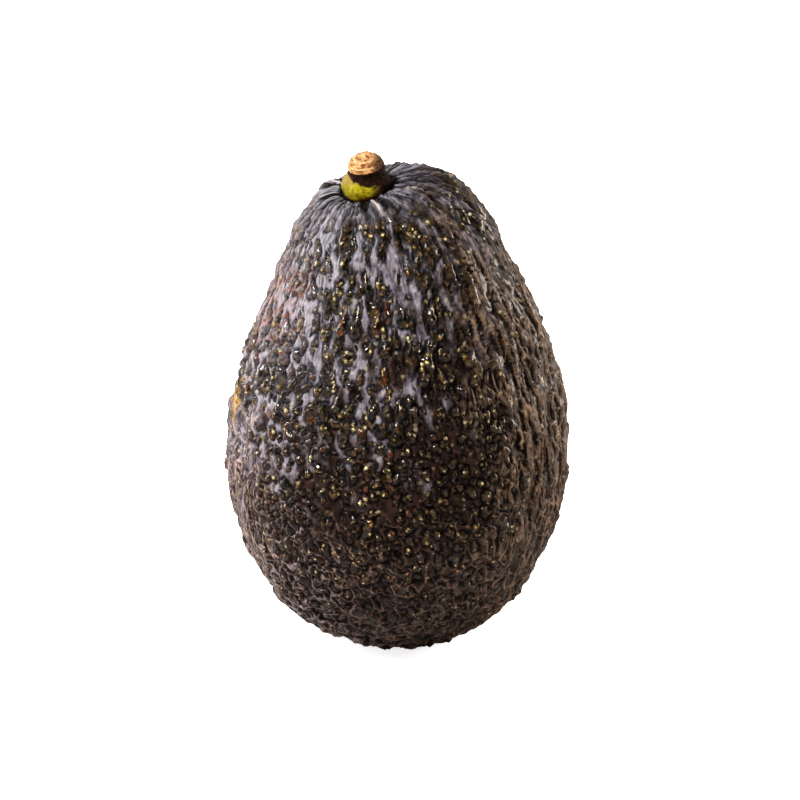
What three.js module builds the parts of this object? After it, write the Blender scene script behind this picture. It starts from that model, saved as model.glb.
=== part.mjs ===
// A ripe pebble-skinned avocado with the stub of its stem, standing on a small flat spot.
// Millimetres, +Z up. The origin is the middle of the flat spot, and the stem's side of the fruit faces -Y.
//
// The fruit is one solid. Its smooth body is an outline turned round Z, with the stem's socket a little
// off the middle of its crown. The skin's warts are raised from that body: each wart is a small pyramid
// whose foot lies in the valleys that it shares with its neighbours, long and narrow near the stem and
// round further down.
import * as THREE from "three";
import { ConvexHull } from "three/addons/math/ConvexHull.js";

// Body
const OUTLINE = [ // radius and height of the smooth body, from the blossom end to the crown
  [0, 0],
  [14.2, 2.6],
  [25.5, 11],
  [33, 25.5],
  [35.7, 42],
  [32.7, 61],
  [24.9, 80],
  [18.9, 93.5],
  [10.8, 101.6],
  [0, 104],
];
const BELLY_HEIGHT = 42;
const FOOT_SINK = 0.8; // how much of the round end is pressed flat against the table
const SWELLS = [ // the body's unevenness: waves round, waves along, phase, height
  [1, 1, 1.6, 0.8],
  [2, 1, 0.5, 0.4],
  [3, 2, 2.3, 0.3],
  [5, 3, 4.1, 0.2],
  [4, 5, 1.2, 0.18],
];

// Neck, crown and socket
const NECK_LEAN = -1.1; // sideways shift of the neck, along X
const NECK_FOOT = 68;
const NECK_TOP = 98;
const STEM_PLACE = new THREE.Vector2(-5.7, -4); // from the middle of the crown
const CROWN_REACH = 28; // radius within which the skin's flow bends towards the stem
const FUNNEL_RADIUS = 13;
const FUNNEL_DEPTH = 2.8;
const SOCKET_RADIUS = 5.7;
const SOCKET_WALL = 0.9; // how far in the wall runs from the socket's lip to its floor
const SOCKET_DEPTH = 1.6;

// Warts
const SEED = 20417;
const DARTS = 50000;
const WART_GAP = [2.3, 3.1]; // least distance between wart centres, measured round the fruit
const LOWER_GAP = 0.9; // share of that gap on the lower half
const LOWER_RANGE = [45, 75]; // distance along the skin over which it shrinks
const NECK_STRETCH = 0.85; // how much longer than wide the warts grow on the neck
const NECK_START = 10; // distance along the skin, from the stem, at which they are longest
const NECK_RANGE = [22, 68]; // distance over which they grow round again
const WART_HEIGHT = [0.5, 0.85];
const VALLEY_DEPTH = 0.4;
const BARE_LIP = 2.6; // skin left bare of warts round the socket
const BARE_FOOT = 0.2; // height of the body over the table up to which the skin is bare
const LIP_RINGS = [ // radius, number of points, height
  [1.6, 6, 0],
  [4.6, 16, 0],
  [5.3, 18, 0],
  [5.9, 20, 0],
  [7.2, 22, 0.4],
];
const FOOT_RINGS = [
  [2.6, 6, 0],
  [6.6, 14, 0],
];

// Stem
const STEM_AXIS = new THREE.Vector3(0.03, -0.21, 1).normalize();
const STEM_PROFILE = [ // radius and height, from the foot in the socket up past the swollen collar
  [4.2, -2],
  [4.4, -1.2],
  [4.8, -0.4],
  [5.05, 0.4],
  [5.05, 1.1],
  [4.85, 1.8],
  [4.45, 2.5],
  [4.05, 3.1],
  [3.75, 3.6],
  [3.65, 4],
  [3.6, 4.2],
  [3.85, 4.5],
  [3.9, 5],
  [3.6, 5.7],
  [3.25, 6.2],
  [2.8, 6.7],
  [2.5, 7],
  [1.8, 7.3],
  [1.1, 7.55],
];
const STEM_TOP = 7.7;
const STEM_SIDES = 32;
const STEM_CLEARANCE = 0.35;
const BARK_BULGE = 0.05; // how far the dead bark stands out on the +X side, as a share of the radius
const BARK_HEIGHT = 2.4;
const BARK_SPREAD = 1.8;
const STEM_OVAL = 0.02; // the stem's unevenness, as shares of its radius
const STEM_RAGGED = 0.03;
const RAGGED_FROM = [3, 5]; // height over which the ragged bark begins

const STEPS = 3000; // samples along the outline
const NORMAL_STEP = 2e-3; // how far apart, in v and in radians, a normal is measured
const smooth = THREE.MathUtils.smoothstep;

// Draws from 0 to 1 that are the same on every run.
function seededRandom(seed) {
  let state = seed;
  return () => {
    state = (state * 48271) % 2147483647;
    return state / 2147483647;
  };
}

// The outline as a curve from the crown to the blossom end, with its ends mirrored so that it crosses
// the axis square.
const mirrored = ([radius, height]) => [-radius, height];
const outlineCurve = new THREE.SplineCurve(
  [mirrored(OUTLINE[1]), ...OUTLINE, mirrored(OUTLINE.at(-2))]
    .map(([radius, height]) => new THREE.Vector2(radius, height)),
);
const FIRST = 1 / (OUTLINE.length + 1);

// Radius and height of the smooth turned body at v from 0, the crown, to 1, the blossom end.
const profile = (v) => outlineCurve.getPoint(1 - FIRST - v * (1 - 2 * FIRST));

const bellyRow = (rows) => rows.findIndex((row) => row.height < BELLY_HEIGHT);

// The table that runs along the outline: for each step its v, radius, and distance along the skin, and the
// polar angle of that step on a unit sphere. The sphere is where the warts are spread, so the angle is
// chosen to keep their shape: what is round on the sphere is round on the fruit, or longer at the neck.
function meridianTable() {
  const rows = [];
  let along = 0;
  let spent = 0;
  let last = profile(0);
  for (let i = 0; i <= STEPS; i++) {
    const v = i / STEPS;
    const p = profile(v);
    const step = p.distanceTo(last);
    along += step;
    const stretch = 1 + NECK_STRETCH * smooth(along, 0, NECK_START) * (1 - smooth(along, ...NECK_RANGE));
    if (i > 1) spent += step / (stretch * (p.x + last.x) / 2 + 1e-9);
    rows.push({ v, radius: p.x, height: p.y, along, spent });
    last = p;
  }
  const middle = rows[bellyRow(rows)].spent;
  for (const row of rows) row.polar = 2 * Math.atan(Math.exp(row.spent - middle));
  rows[0].polar = 0;
  rows[STEPS].polar = Math.PI;
  return rows;
}
const meridian = meridianTable();
const BELLY_ROW = bellyRow(meridian);

// The table's row at which one of its rising values, such as "polar", reaches this value. The radius
// rises only down to the belly.
function meridianAt(key, value, end = STEPS) {
  let low = 0;
  let high = end;
  while (high - low > 1) {
    const middle = (low + high) >> 1;
    if (meridian[middle][key] > value) high = middle;
    else low = middle;
  }
  const [a, b] = [meridian[low], meridian[high]];
  const share = (value - a[key]) / (b[key] - a[key]);
  return Object.fromEntries(Object.keys(a).map((name) => [name, a[name] + (b[name] - a[name]) * share]));
}

// The crown's height over a point at this distance from the body's axis.
const crownHeight = (radius) => meridianAt("radius", radius, BELLY_ROW).height;

// The socket's floor is a plane square to the stem.
function floorHeight(x, y) {
  const middle = crownHeight(STEM_PLACE.length()) - FUNNEL_DEPTH - SOCKET_DEPTH;
  return middle - ((x - STEM_PLACE.x) * STEM_AXIS.x + (y - STEM_PLACE.y) * STEM_AXIS.y) / STEM_AXIS.z;
}

// A point of the smooth body, from its v and its azimuth. On the crown, v = 0 is the stem's place, and
// the meridians slide over the body's surface to reach it.
function bodyPoint(v, azimuth) {
  const p = profile(v);
  let x = p.x * Math.cos(azimuth);
  let y = p.x * Math.sin(azimuth);
  let z = p.y;
  if (p.y > BELLY_HEIGHT && p.x < CROWN_REACH) {
    const slide = (1 - (p.x / CROWN_REACH) ** 2) ** 2;
    x += STEM_PLACE.x * slide;
    y += STEM_PLACE.y * slide;
    z = crownHeight(Math.hypot(x, y)) - FUNNEL_DEPTH * (1 - smooth(p.x, 0, FUNNEL_RADIUS));
    const sunk = 1 - smooth(p.x, SOCKET_RADIUS - SOCKET_WALL, SOCKET_RADIUS);
    z = THREE.MathUtils.lerp(z, floorHeight(x, y), sunk);
  }
  x += NECK_LEAN * smooth(p.y, NECK_FOOT, NECK_TOP);
  return new THREE.Vector3(x, y, z - FOOT_SINK);
}

// The body's outward direction there.
function bodyNormal(v, azimuth) {
  const h = NORMAL_STEP;
  const inside = THREE.MathUtils.clamp(v, h, 1 - h);
  const down = bodyPoint(inside + h, azimuth).sub(bodyPoint(inside - h, azimuth));
  const round = bodyPoint(inside, azimuth + h).sub(bodyPoint(inside, azimuth - h));
  return down.cross(round).normalize();
}

// How far the body swells out there.
function swell(v, azimuth) {
  let height = 0;
  for (const [round, lengthwise, phase, most] of SWELLS) {
    height += most * Math.sin(round * azimuth + phase) * Math.sin(Math.PI * lengthwise * v + phase);
  }
  return height * Math.sin(Math.PI * v) ** 2;
}

// A direction of the sphere, whose pole is +Z.
function sphereDirection(polar, azimuth) {
  const ring = Math.sin(polar);
  return new THREE.Vector3(ring * Math.cos(azimuth), ring * Math.sin(azimuth), Math.cos(polar));
}

// A direction of the sphere laid on the fruit and raised by height, with nothing below the table.
function onFruit(direction, height) {
  const { v } = placeOf(direction);
  const azimuth = Math.atan2(direction.y, direction.x);
  const raised = height + swell(v, azimuth);
  const p = bodyPoint(v, azimuth).addScaledVector(bodyNormal(v, azimuth), raised);
  p.z = Math.max(p.z, 0);
  return p;
}
const placeOf = (direction) => meridianAt("polar", Math.acos(THREE.MathUtils.clamp(direction.z, -1, 1)));

// Whether a row of the table is in the stem's socket, on its lip or on the flat spot.
function isBare(place) {
  const onLip = place.height > BELLY_HEIGHT && place.radius < SOCKET_RADIUS + BARE_LIP;
  return onLip || place.height < FOOT_SINK + BARE_FOOT;
}

// The warts: darts thrown at the sphere, each kept if it lands clear of those before it.
function throwWarts() {
  const random = seededRandom(SEED);
  const warts = [];
  for (let dart = 0; dart < DARTS; dart++) {
    const polar = Math.acos(1 - 2 * random());
    const azimuth = 2 * Math.PI * random();
    const size = random();
    const rise = random();
    const place = meridianAt("polar", polar);
    if (isBare(place)) continue;
    const crowding = THREE.MathUtils.lerp(1, LOWER_GAP, smooth(place.along, ...LOWER_RANGE));
    const gap = THREE.MathUtils.lerp(...WART_GAP, size) * crowding;
    const reach = gap * Math.sin(polar) / place.radius; // the gap as an angle of the sphere
    const direction = sphereDirection(polar, azimuth);
    const clear = warts.every(
      (other) => other.direction.distanceTo(direction) > (other.reach + reach) / 2,
    );
    if (clear) warts.push({ direction, reach, height: THREE.MathUtils.lerp(...WART_HEIGHT, rise) });
  }
  return warts;
}

// Rings of points round an end of the fruit, where there are no warts.
function ringPoints(rings, polarAt) {
  const points = [];
  rings.forEach(([radius, count, height], ring) => {
    for (let i = 0; i < count; i++) {
      const azimuth = 2 * Math.PI * (i + ring / 2) / count;
      points.push({ direction: sphereDirection(polarAt(radius), azimuth), height });
    }
  });
  return points;
}

// The socket's floor, wall and puckered lip.
const lipPoints = () => ringPoints(LIP_RINGS, (radius) => meridianAt("radius", radius, BELLY_ROW).polar);

// The flat spot.
const footPoints = () => ringPoints(
  FOOT_RINGS,
  (radius) => meridian.findLast((row) => row.radius > radius).polar,
);

// The skin: a fan of triangles round each wart's top, to the valley points in the middle of each
// three neighbours.
function fruitGeometry() {
  const tops = [...throwWarts(), ...lipPoints(), ...footPoints()];
  const hull = new ConvexHull().setFromPoints(tops.map((top) => top.direction));
  const index = new Map(tops.map((top, i) => [top.direction, i]));
  const vertices = tops.map((top) => onFruit(top.direction, top.height));
  const triangles = [];
  const valleys = new Map();
  for (const face of hull.faces) {
    const direction = face.midpoint.clone().normalize();
    valleys.set(face, vertices.length);
    vertices.push(onFruit(direction, isBare(placeOf(direction)) ? 0 : -VALLEY_DEPTH));
  }
  for (const face of hull.faces) {
    let edge = face.edge;
    do {
      const top = index.get(edge.head().point);
      triangles.push(top, valleys.get(face), valleys.get(edge.twin.face));
      edge = edge.next;
    } while (edge !== face.edge);
  }
  return new THREE.BufferGeometry()
    .setFromPoints(vertices)
    .setIndex(triangles);
}

// The stem stub: rings of its profile, not quite round, closed by a fan at each end. Its own Z is its
// axis, and its own height 0 is level with the socket's lip.
function stemGeometry() {
  const vertices = [];
  const triangles = [];
  STEM_PROFILE.forEach(([radius, height]) => {
    const bark = BARK_BULGE * Math.exp(-(((height - BARK_HEIGHT) / BARK_SPREAD) ** 2));
    const ragged = STEM_RAGGED * smooth(height, ...RAGGED_FROM);
    for (let i = 0; i < STEM_SIDES; i++) {
      const a = 2 * Math.PI * i / STEM_SIDES;
      const uneven = 1 + bark * Math.cos(a) + STEM_OVAL * Math.sin(2 * a)
        + ragged * Math.sin(7 * a + 2 * height) * Math.sin(4 * a);
      vertices.push(new THREE.Vector3(Math.cos(a), Math.sin(a), 0).multiplyScalar(radius * uneven));
      vertices.at(-1).z = height;
    }
  });
  const rings = STEM_PROFILE.length;
  for (let ring = 0; ring + 1 < rings; ring++) {
    for (let i = 0; i < STEM_SIDES; i++) {
      const a = ring * STEM_SIDES + i;
      const b = ring * STEM_SIDES + (i + 1) % STEM_SIDES;
      triangles.push(a, b, b + STEM_SIDES, a, b + STEM_SIDES, a + STEM_SIDES);
    }
  }
  const foot = vertices.push(new THREE.Vector3(0, 0, STEM_PROFILE[0][1])) - 1;
  const top = vertices.push(new THREE.Vector3(0, 0, STEM_TOP)) - 1;
  const last = (rings - 1) * STEM_SIDES;
  for (let i = 0; i < STEM_SIDES; i++) {
    const j = (i + 1) % STEM_SIDES;
    triangles.push(foot, j, i, top, last + i, last + j);
  }
  return new THREE.BufferGeometry().setFromPoints(vertices).setIndex(triangles);
}

const skinMaterial = new THREE.MeshStandardMaterial({ color: 0x3a302b, roughness: 0.42, metalness: 0 });
const stemMaterial = new THREE.MeshStandardMaterial({ color: 0x8c7a35, roughness: 0.7, metalness: 0 });

const fruit = new THREE.Mesh(fruitGeometry(), skinMaterial);
fruit.name = "fruit";

const stem = new THREE.Mesh(stemGeometry(), stemMaterial);
stem.name = "stem";
stem.quaternion.setFromUnitVectors(new THREE.Vector3(0, 0, 1), STEM_AXIS);
stem.position.copy(bodyPoint(0, 0)).addScaledVector(STEM_AXIS, STEM_CLEARANCE - STEM_PROFILE[0][1]);

const avocado = new THREE.Group();
avocado.add(fruit, stem);

export default avocado;
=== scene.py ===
"""The looks of the avocado: its pebbled skin and the stub of its stem, in a plain pale studio.

The skin repeats the body and the wart centres of the part's source, by the same formulas and the same
seeded draws, and gives every wart its own shape. Lengths are in millimetres until a mesh is made.
"Along" is a distance along the skin, from the stem towards the blossom end.
"""

import math
from functools import reduce
from types import SimpleNamespace

import bpy
import numpy as np
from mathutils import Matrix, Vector, noise
from mathutils.kdtree import KDTree


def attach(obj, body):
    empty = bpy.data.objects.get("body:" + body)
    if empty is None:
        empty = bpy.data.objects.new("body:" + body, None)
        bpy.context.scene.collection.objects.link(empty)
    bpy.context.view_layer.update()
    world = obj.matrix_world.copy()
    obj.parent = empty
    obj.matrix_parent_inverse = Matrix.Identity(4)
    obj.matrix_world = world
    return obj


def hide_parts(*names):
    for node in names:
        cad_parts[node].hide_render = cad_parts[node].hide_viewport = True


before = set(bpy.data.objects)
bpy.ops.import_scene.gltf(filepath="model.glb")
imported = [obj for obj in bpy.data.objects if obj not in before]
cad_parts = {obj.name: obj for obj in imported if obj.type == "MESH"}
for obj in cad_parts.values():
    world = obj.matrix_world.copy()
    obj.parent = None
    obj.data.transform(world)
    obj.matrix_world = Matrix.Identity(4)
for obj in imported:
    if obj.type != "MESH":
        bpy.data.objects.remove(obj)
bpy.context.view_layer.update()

MM = 0.001
PER_METRE = 1000.0  # millimetres

# Body, as in the part's source
OUTLINE = [  # radius and height of the smooth body, from the blossom end to the crown
    (0, 0),
    (14.2, 2.6),
    (25.5, 11),
    (33, 25.5),
    (35.7, 42),
    (32.7, 61),
    (24.9, 80),
    (18.9, 93.5),
    (10.8, 101.6),
    (0, 104),
]
BELLY_HEIGHT = 42
FOOT_SINK = 0.8
SWELLS = [  # waves round, waves along, phase, height
    (1, 1, 1.6, 0.8),
    (2, 1, 0.5, 0.4),
    (3, 2, 2.3, 0.3),
    (5, 3, 4.1, 0.2),
    (4, 5, 1.2, 0.18),
]
NECK_LEAN = -1.1
NECK_FOOT = 68
NECK_TOP = 98
STEM_PLACE = (-5.7, -4)
CROWN_REACH = 28
FUNNEL_RADIUS = 13
FUNNEL_DEPTH = 2.8
SOCKET_RADIUS = 5.7
SOCKET_WALL = 0.9
SOCKET_DEPTH = 1.6
STEM_AXIS = Vector((0.03, -0.21, 1)).normalized()
STEM_CLEARANCE = 0.35

# Wart centres, as in the part's source
SEED = 20417
DRAW_FACTOR = 48271
DRAW_MODULUS = 2147483647
DARTS = 50000
WART_GAP = (2.3, 3.1)
LOWER_GAP = 0.9
LOWER_RANGE = (45, 75)
NECK_STRETCH = 0.85
NECK_START = 10
NECK_RANGE = (22, 68)
BARE_LIP = 2.6
BARE_FOOT = 0.2
STEPS = 3000
NORMAL_STEP = 2e-3

# The skin's parts: where the warts give way to ridges, to bloom or to a net
GROOVED = (  # cosine of the azimuth and distance along: long ridges on the +X and the lower -X side
    ((0.42, 0.75), (18, 42)),
    ((-0.7, -0.92), (58, 76)),
)
GROOVED_END = (88, 112)  # distance along over which the long ridges fade into the net
GROOVED_FADE = 0.7  # the share of them that fades there
GROOVED_WAVER = (0.25, 16)  # how uneven the border of the ridges is: azimuth and distance along
BLOOMED = (  # minus the cosine of the azimuth, and height: the upper -X side, where warts sink into bloom
    (0.45, 0.85),
    (56, 76),
)
LOW = (76, 104)  # distance along over which the skin changes to lumps and a net
FULLER = (0.5, 0.6)  # how much fuller than the part's source it is where it is grooved and where bloomed

# Warts
WART_SEED = 7
WART_SHARE = (0.28, 0.95)  # a wart's half width as a share of half its gap, from the smallest to the largest
LOW_SHARE = 0.75  # the same where the net is
LOW_LIKENESS = 0.7  # how far the warts come to that share there
NECK_GROWTH = 0.3  # how much wider the warts are on the neck
WART_HEIGHT = (0.45, 1.3)  # above the plains
FLATTER_LOW = 0.4  # the share of a wart's height that is lost where the net is
FLATTER_BELOW = 0.15  # the same below the belly range
FLATTER_BLOOMED = 0.5
FLATTER_GROOVED = 0.85
FAINT = 0.4  # share of the warts that stay faint on the neck
FAINT_RANGE = (30, 62)  # distance along over which they grow fewer
FAINT_SHARE = 0.22  # their half width, as a share of half their gap
FAINT_HEIGHT = 0.25
BELLY_RANGE = (50, 64)  # distance along over which the warts grow a little lower
LIP_WARTS = (8, 19)  # distance along over which they grow to their full height
PIMPLES = 5000  # tries to place a small wart among the main ones
PIMPLE_SIZE = (0.45, 0.75)
PIMPLE_GAP = 1.9
PIMPLE_HEIGHT = (0.35, 0.7)
PIMPLE_END = (82, 102)  # distance along over which the small warts end
PIMPLE_ROOM = 0.5  # least distance from a main wart's centre, as a share of its gap
CLUSTER_CONTRAST = 1.6  # how strongly the warts grow large or small in clusters
TAIL = 1.1  # how much longer a wart runs towards the stem on the neck
TAIL_RIDGE = 0.45  # height of the ridge that a wart trails towards the stem, as a share of its own
TAIL_WIDTH = 0.42  # of that ridge, as a share of the wart's half width
TAIL_START = (0, 0.7)  # where it rises, in the wart's lengths from its centre
TAIL_END = (0.8, 2.6)  # where it dies away
STRETCH = (0.1, 0.6)  # how much longer than wide a wart is, from the least to the most
GROOVED_STRETCH = 0.5  # how much longer still among the long ridges
TURN = 0.35  # how far a wart may lie askew, in radians
DOME_POWERS = (2.4, 0.7)  # how flat a wart's top is, and how steep its side
LUMP_REACH = 1.3  # of the soft lumps where the net is, in half widths
LUMP_POWER = 1.5
LOBES = (0.1, 0.07)  # how far a wart's outline swells three times and five times round it
KNOBS = 0.8  # how uneven a wart's top is
FRAY = 0.22  # how uneven its outline is, as a share of its width
WARP = (0.8, 1.3)  # how far the warts, and the net round the blossom end, are pushed about
WARP_RANGE = (66, 100)  # distance along over which they are pushed further
NEAR_WARTS = 7  # warts that may shape a place on the skin

# Between the warts
PLAIN_DEPTH = 0.35  # of the plains under the smooth body
MOAT_DEPTH = 0.45  # of the crease round a wart
MOAT_PLACE = 1.08  # distance from the wart's centre, in half widths
MOAT_WIDTH = 0.17
CREST_HEIGHT = (0.25, 0.7)  # of the winding ridges, among the warts and away from them
CREST_WIDTH = 0.1
WAVER = {"winding": 0.9, "low": 0.3, "long": 0.25}  # how far the ridges' lines wander
COMB = 0.65  # what lengths along the skin are multiplied by, which draws the long ridges out
NET_HEIGHT = 0.6  # of the ridges between the warts round the blossom end
NET_WIDTH = 0.9
NET_GAPS = (-0.4, 0.0)  # of the random field that breaks the net up
LUMP_HEIGHT = (0.45, 0.3)  # of the uneven plains, over 4 mm and over 2 mm
LONG_LUMPS = 0.75  # height of the long swellings that the ridges run over
FLOW_RADIUS = 30  # of the round bar that the skin's flow is measured on
FLOW_SLOWING = 3  # how much slower its patterns change along the skin than round it

# Folds that run into the socket
FOLDS = 43
BROAD_FOLDS = 17
FOLD_HEIGHT = 0.34
FOLD_WAVER = 0.05  # how far they waver, in radians
FOLD_START = (4.8, 6.8)  # distance along over which they rise
FOLD_END = (10, 17)  # and over which they end
BARE_WALL = (4.5, 7)  # distance along over which the plains' relief begins, above the socket
FOOT_HEIGHT = (0.8, 3)  # height over which it ends, at the resting spot

FIELDS = {  # the random fields: wavelength in millimetres, seed and octaves
    "clusters": (8, 27, 1),
    "fray": (1.4, 21, 2),
    "push x": (3, 31, 2),
    "push y": (3, 32, 2),
    "push z": (3, 33, 2),
    "wiggle": (1.3, 21, 2),
    "knobs": (1.2, 26, 1),
    "winding ridges": (3.2, 22, 1),
    "low ridges": (3.6, 34, 1),
    "long ridges": (2.2, 29, 1),
    "gaps in the net": (4, 28, 1),
    "lumps": (4, 23, 2),
    "small lumps": (1.9, 24, 2),
    "long lumps": (2.6, 30, 2),
    "waver of the folds": (6, 25, 2),
    "border round": (9, 36, 2),
    "border along": (10, 37, 2),
    "bark": (1.0, 11, 2),
    "stub": (2.2, 12, 2),
    "cap": (1.8, 13, 2),
    "waver of the ledges": (4, 14, 2),
}

# The stem stub, as in the part's source
STEM_PROFILE = [  # radius and height
    (4.2, -2.0),
    (4.4, -1.2),
    (4.8, -0.4),
    (5.05, 0.4),
    (5.05, 1.1),
    (4.85, 1.8),
    (4.45, 2.5),
    (4.05, 3.1),
    (3.75, 3.6),
    (3.65, 4.0),
    (3.6, 4.2),
    (3.85, 4.5),
    (3.9, 5.0),
    (3.6, 5.7),
    (3.25, 6.2),
    (2.8, 6.7),
    (2.5, 7.0),
    (1.8, 7.3),
    (1.1, 7.55),
]
STEM_TIP = (0.35, 7.7)
STEM_SIDES = 32
BARK_BULGE = 0.05
BARK_HEIGHT = 2.4
BARK_SPREAD = 1.8

# The stub's own relief: widths are shares of its radius
OVAL = 0.02
STUB_ROUGH = 0.03
BARK_ROUGH = 0.06
BARK_RANGE = (0.8, 1.6)  # height over which the dead bark begins, lower on the +X side
CORK_RANGE = (4.1, 4.6)  # height over which the cork cap begins
TOP_ROUGH = 0.35  # in millimetres
TOP_RANGE = (5.5, 7.2)  # height over which the cap's top grows rough
LEDGE_GAP = 0.95
LEDGE_DEPTH = 0.01
LEDGE_WAVER = 0.8  # in millimetres
LEDGE_END = (6.8, 7.4)  # height over which the ledges end

# Camera
CAMERA_ELEVATION = math.radians(20)
CAMERA_DISTANCE = 0.640
CAMERA_AIM = Vector((0, 0, 0.0512))
CAMERA_LENS = 136.4
CAMERA_SHIFT = (0.0019, 0.0066)


# ---------------------------------------------------------------- the body, in numpy

def smooth(x, low, high):
    t = np.clip((x - low) / (high - low), 0, 1)
    return t * t * (3 - 2 * t)


def part_way(ends, share):
    return ends[0] + (ends[1] - ends[0]) * share


def mirrored(point):
    return -point[0], point[1]


KNOTS = np.array([mirrored(OUTLINE[1]), *OUTLINE, mirrored(OUTLINE[-2])], float)


def profile(v):
    """Radius and height of the smooth turned body, at v from 0, the crown, to 1, the blossom end."""
    last = len(KNOTS) - 1
    place = 1 + (1 - np.asarray(v, float)) * (last - 2)
    knot = np.clip(np.floor(place).astype(int), 1, last - 2)
    t = (place - knot)[..., None]
    before, start, end, after = (KNOTS[knot + k] for k in (-1, 0, 1, 2))
    pull_in, pull_out = (end - before) / 2, (after - start) / 2
    point = (2 * start - 2 * end + pull_in + pull_out) * t ** 3
    point += (3 * end - 3 * start - 2 * pull_in - pull_out) * t ** 2 + pull_in * t + start
    return point[..., 0], point[..., 1]


def meridian_table():
    """v, radius, height, distance along the skin and polar angle on the warts' sphere, row by row."""
    v = np.linspace(0, 1, STEPS + 1)
    radius, height = profile(v)
    step = np.hypot(np.diff(radius, prepend=radius[0]), np.diff(height, prepend=height[0]))
    along = np.cumsum(step)
    stretch = 1 + NECK_STRETCH * smooth(along, 0, NECK_START) * (1 - smooth(along, *NECK_RANGE))
    middle = (radius + np.roll(radius, 1)) / 2
    spent = step / (stretch * middle + 1e-9)
    spent[:2] = 0
    spent = np.cumsum(spent)
    belly = int(np.argmax(height < BELLY_HEIGHT))
    polar = 2 * np.arctan(np.exp(spent - spent[belly]))
    polar[0], polar[-1] = 0, math.pi
    return {"v": v, "radius": radius, "height": height, "along": along, "polar": polar}, belly


meridian, belly_row = meridian_table()


def at_polar(polar):
    return {name: np.interp(polar, meridian["polar"], column) for name, column in meridian.items()}


def crown_height(radius):
    rows = slice(0, belly_row + 1)
    return np.interp(radius, meridian["radius"][rows], meridian["height"][rows])


def floor_height(x, y):
    """The socket's floor, a plane square to the stem."""
    middle = crown_height(math.hypot(*STEM_PLACE)) - FUNNEL_DEPTH - SOCKET_DEPTH
    fall = (x - STEM_PLACE[0]) * STEM_AXIS.x + (y - STEM_PLACE[1]) * STEM_AXIS.y
    return middle - fall / STEM_AXIS.z


def body_point(v, azimuth):
    """Points of the smooth body. On the crown the meridians slide over it to reach the stem's place."""
    radius, height = profile(v)
    x, y = radius * np.cos(azimuth), radius * np.sin(azimuth)
    crown = (height > BELLY_HEIGHT) & (radius < CROWN_REACH)
    slide = np.where(crown, (1 - (radius / CROWN_REACH) ** 2) ** 2, 0)
    x = x + STEM_PLACE[0] * slide
    y = y + STEM_PLACE[1] * slide
    over = crown_height(np.hypot(x, y)) - FUNNEL_DEPTH * (1 - smooth(radius, 0, FUNNEL_RADIUS))
    sunk = 1 - smooth(radius, SOCKET_RADIUS - SOCKET_WALL, SOCKET_RADIUS)
    over = over + (floor_height(x, y) - over) * sunk
    z = np.where(crown, over, height)
    x = x + NECK_LEAN * smooth(height, NECK_FOOT, NECK_TOP)
    return np.stack([x, y, z - FOOT_SINK], -1)


def body_normal(v, azimuth):
    h = NORMAL_STEP
    inside = np.clip(v, h, 1 - h)
    down = body_point(inside + h, azimuth) - body_point(inside - h, azimuth)
    across = body_point(inside, azimuth + h) - body_point(inside, azimuth - h)
    normal = np.cross(down, across)
    return normal / np.linalg.norm(normal, axis=-1, keepdims=True)


def swell(v, azimuth):
    height = sum(
        most * np.sin(waves * azimuth + phase) * np.sin(math.pi * lengthwise * v + phase)
        for waves, lengthwise, phase, most in SWELLS
    )
    return height * np.sin(math.pi * v) ** 2


# ---------------------------------------------------------------- the warts

def field(name, places):
    """A smooth random field, roughly from -1 to 1, at points in millimetres."""
    wavelength, seed, octaves = FIELDS[name]
    shift = np.random.default_rng(seed).random(3) * 100
    return np.array([noise.fractal(p, 1, 2, octaves) for p in places / wavelength + shift])


def sphere_direction(polar, azimuth):
    ring = np.sin(polar)
    return np.stack([ring * np.cos(azimuth), ring * np.sin(azimuth), np.cos(polar)], -1)


def seeded_draws(count):
    draws = np.empty(count)
    state = SEED
    for i in range(count):
        state = state * DRAW_FACTOR % DRAW_MODULUS
        draws[i] = state / DRAW_MODULUS
    return draws


def on_lip(place):
    return (place["height"] > BELLY_HEIGHT) & (place["radius"] < SOCKET_RADIUS + BARE_LIP)


def throw_warts():
    """The wart centres of the part's source: direction on the sphere and reach, an angle."""
    draws = seeded_draws(4 * DARTS).reshape(-1, 4)
    polar = np.arccos(1 - 2 * draws[:, 0])
    azimuth = 2 * math.pi * draws[:, 1]
    place = at_polar(polar)
    bare = on_lip(place) | (place["height"] < FOOT_SINK + BARE_FOOT)
    crowding = 1 + (LOWER_GAP - 1) * smooth(place["along"], *LOWER_RANGE)
    reach = part_way(WART_GAP, draws[:, 2]) * crowding * np.sin(polar) / np.maximum(place["radius"], 1e-9)
    direction = sphere_direction(polar, azimuth)
    kept = np.empty((DARTS, 4))
    index = []
    for dart in np.flatnonzero(~bare):
        count = len(index)
        away = np.linalg.norm(kept[:count, :3] - direction[dart], axis=1)
        if np.all(away > (kept[:count, 3] + reach[dart]) / 2):
            kept[count, :3] = direction[dart]
            kept[count, 3] = reach[dart]
            index.append(dart)
    return {
        "direction": direction[index],
        "polar": polar[index],
        "azimuth": azimuth[index],
        "reach": reach[index],
        "along": place["along"][index],
    }


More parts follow.
